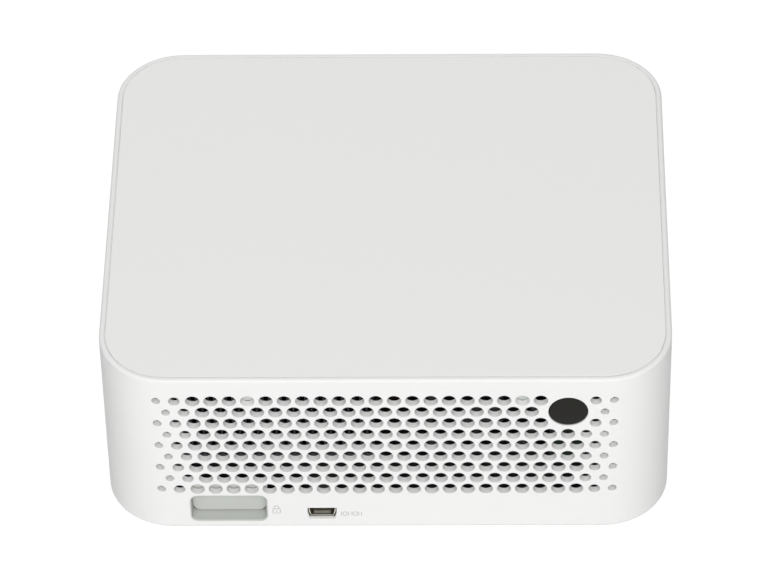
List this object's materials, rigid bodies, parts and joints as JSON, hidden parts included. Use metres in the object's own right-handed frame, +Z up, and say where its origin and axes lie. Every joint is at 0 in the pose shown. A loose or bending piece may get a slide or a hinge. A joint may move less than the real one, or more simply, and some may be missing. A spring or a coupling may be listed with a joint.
{
  "type": "home projector with slim disc drive",
  "caption": "Compact rounded-square projector with a vented rear wall, a recessed lens and a slim slide-out disc tray in its front, built as a full working assembly.",
  "frame": {"origin": "middle of the footprint, on the surface that the rubber feet stand on", "axes": "+X along the longest side, +Y out of the lens and tray side, -Y out of the vented rear, +Z up"},
  "size_m": [0.16, 0.137, 0.06],
  "materials": {
    "white_shell": "fine matt white moulding",
    "grey_panel": "very light grey satin panel",
    "base_plastic": "dark textured moulding",
    "pocket_grey": "light grey moulding",
    "foot_rubber": "matt rubber",
    "screw_steel": "zinc-plated steel",
    "insert_brass": "turned brass",
    "ir_smoke": "gloss smoke plastic",
    "board_green": "printed circuit board with solder mask",
    "socket_metal": "nickel-plated sheet",
    "socket_black": "black moulding",
    "deck_steel": "black coated steel sheet",
    "case_steel": "galvanised steel sheet",
    "button_white": "satin white caps",
    "engine_cast": "die-cast magnesium alloy, dark",
    "led_white": "white ceramic module",
    "copper": null,
    "fin_metal": "black anodised aluminium",
    "sink_metal": "clear anodised aluminium",
    "fan_black": "black glass-filled moulding",
    "lens_black": "fine matt black",
    "ring_grey": "soft matt dark grey",
    "barrel_black": "black anodised aluminium",
    "lens_glass": "coated optical glass",
    "speaker_frame": "black moulding",
    "speaker_cone": "coated paper cone",
    "tray_black": "fine textured black moulding",
    "chrome_rod": "ground steel",
    "motor_steel": "bright steel",
    "sled_grey": "dark moulding",
    "sled_lens": "coated glass"
  },
  "bodies": {
    "chassis": {"body_shell": "white_shell", "rear_grille": "white_shell", "front_grille": "white_shell", "top_panel": "grey_panel", "bottom_cover": "base_plastic", "rubber_feet": "foot_rubber", "chassis_screws": "screw_steel", "tripod_insert": "insert_brass", "ir_window": "ir_smoke", "ir_sensor_board": "board_green", "rear_pocket": "pocket_grey", "service_port_shell": "socket_metal", "service_port_tongue": "socket_black", "mid_deck": "deck_steel", "main_board": "board_green", "dc_jack": "socket_black", "hdmi_port": "socket_metal", "usb_a_port": "socket_metal", "usb_c_port": "socket_metal", "audio_jack": "socket_black", "button_board": "board_green", "optical_housing": "engine_cast", "red_led": "led_white", "green_led": "led_white", "blue_led": "led_white", "led_heat_spreader": "copper", "heat_pipes": "copper", "fin_stack": "fin_metal", "dmd_board": "board_green", "dmd_heatsink": "sink_metal", "blower_case": "fan_black", "exhaust_fan_frame": "fan_black", "lens_bezel": "lens_black", "speaker_frames": "speaker_frame", "speaker_cones": "speaker_cone", "drive_case": "case_steel", "drive_cover": "case_steel"},
    "disc_drawer": {"disc_tray": "tray_black", "tray_bezel": "white_shell", "traverse_plate": "case_steel", "guide_rods": "chrome_rod", "spindle_motor": "motor_steel", "sled_motor": "motor_steel"},
    "left_rail": {"rail_left": "case_steel"},
    "right_rail": {"rail_right": "case_steel"},
    "hub": {"disc_hub": "motor_steel"},
    "sled": {"pickup_sled": "sled_grey", "pickup_lens": "sled_lens"},
    "screw": {"lead_screw": "chrome_rod"},
    "eject": {"eject_button": "button_white"},
    "ring": {"focus_ring": "ring_grey"},
    "barrel": {"lens_barrel": "barrel_black", "front_lens": "lens_glass", "rear_lens": "lens_glass"},
    "blower": {"blower_rotor": "fan_black"},
    "fan": {"exhaust_fan_rotor": "fan_black"},
    "power": {"power_button": "button_white"},
    "source": {"source_button": "button_white"},
    "volume": {"volume_rocker": "button_white"}
  },
  "joints": [
    {"name": "tray_slide", "type": "slide", "parent": "chassis", "child": "disc_drawer", "axis": [0, 1, 0], "range_m": [0, 0.116]},
    {"name": "left_rail_slide", "type": "slide", "parent": "chassis", "child": "left_rail", "axis": [0, 1, 0], "range_m": [0, 0.058]},
    {"name": "right_rail_slide", "type": "slide", "parent": "chassis", "child": "right_rail", "axis": [0, 1, 0], "range_m": [0, 0.058]},
    {"name": "hub_spin", "type": "hinge", "parent": "disc_drawer", "child": "hub", "pos_m": [0, 0.0047, 0.014], "axis": [0, 0, 1], "continuous": true},
    {"name": "screw_spin", "type": "hinge", "parent": "disc_drawer", "child": "screw", "pos_m": [0.0235, -0.0343, 0.0126], "axis": [0, 1, 0], "range_deg": [0, 3600]},
    {"name": "sled_slide", "type": "slide", "parent": "disc_drawer", "child": "sled", "axis": [0, -1, 0], "range_m": [0, 0.03]},
    {"name": "eject_press", "type": "slide", "parent": "disc_drawer", "child": "eject", "axis": [0, -1, 0], "range_m": [0, 0.0005], "stiffness_N_per_m": 300},
    {"name": "focus_turn", "type": "hinge", "parent": "chassis", "child": "ring", "pos_m": [0.036, 0.0661, 0.03965], "axis": [0, 1, 0], "range_deg": [-35, 35]},
    {"name": "barrel_slide", "type": "slide", "parent": "chassis", "child": "barrel", "axis": [0, 1, 0], "range_m": [-0.0015, 0.0015]},
    {"name": "blower_spin", "type": "hinge", "parent": "chassis", "child": "blower", "pos_m": [-0.038, -0.007, 0.0445], "axis": [0, 0, 1], "continuous": true},
    {"name": "fan_spin", "type": "hinge", "parent": "chassis", "child": "fan", "pos_m": [0.027, -0.0559, 0.0377], "axis": [0, 1, 0], "continuous": true},
    {"name": "power_press", "type": "slide", "parent": "chassis", "child": "power", "axis": [-1, 0, 0], "range_m": [0, 0.0005], "stiffness_N_per_m": 400},
    {"name": "source_press", "type": "slide", "parent": "chassis", "child": "source", "axis": [-1, 0, 0], "range_m": [0, 0.0005], "stiffness_N_per_m": 400},
    {"name": "volume_rock", "type": "hinge", "parent": "chassis", "child": "volume", "pos_m": [0.0762, 0.004, 0.0377], "axis": [0, 0, 1], "range_deg": [-3, 3], "stiffness_Nm_per_rad": 0.05}
  ],
  "couplings": [
    {"joint": "left_rail_slide", "follows": "tray_slide", "ratio": 0.5},
    {"joint": "right_rail_slide", "follows": "tray_slide", "ratio": 0.5},
    {"joint": "screw_spin", "follows": "sled_slide", "rad_per_m": 2094.4},
    {"joint": "focus_turn", "follows": "barrel_slide", "rad_per_m": 407.24}
  ]
}
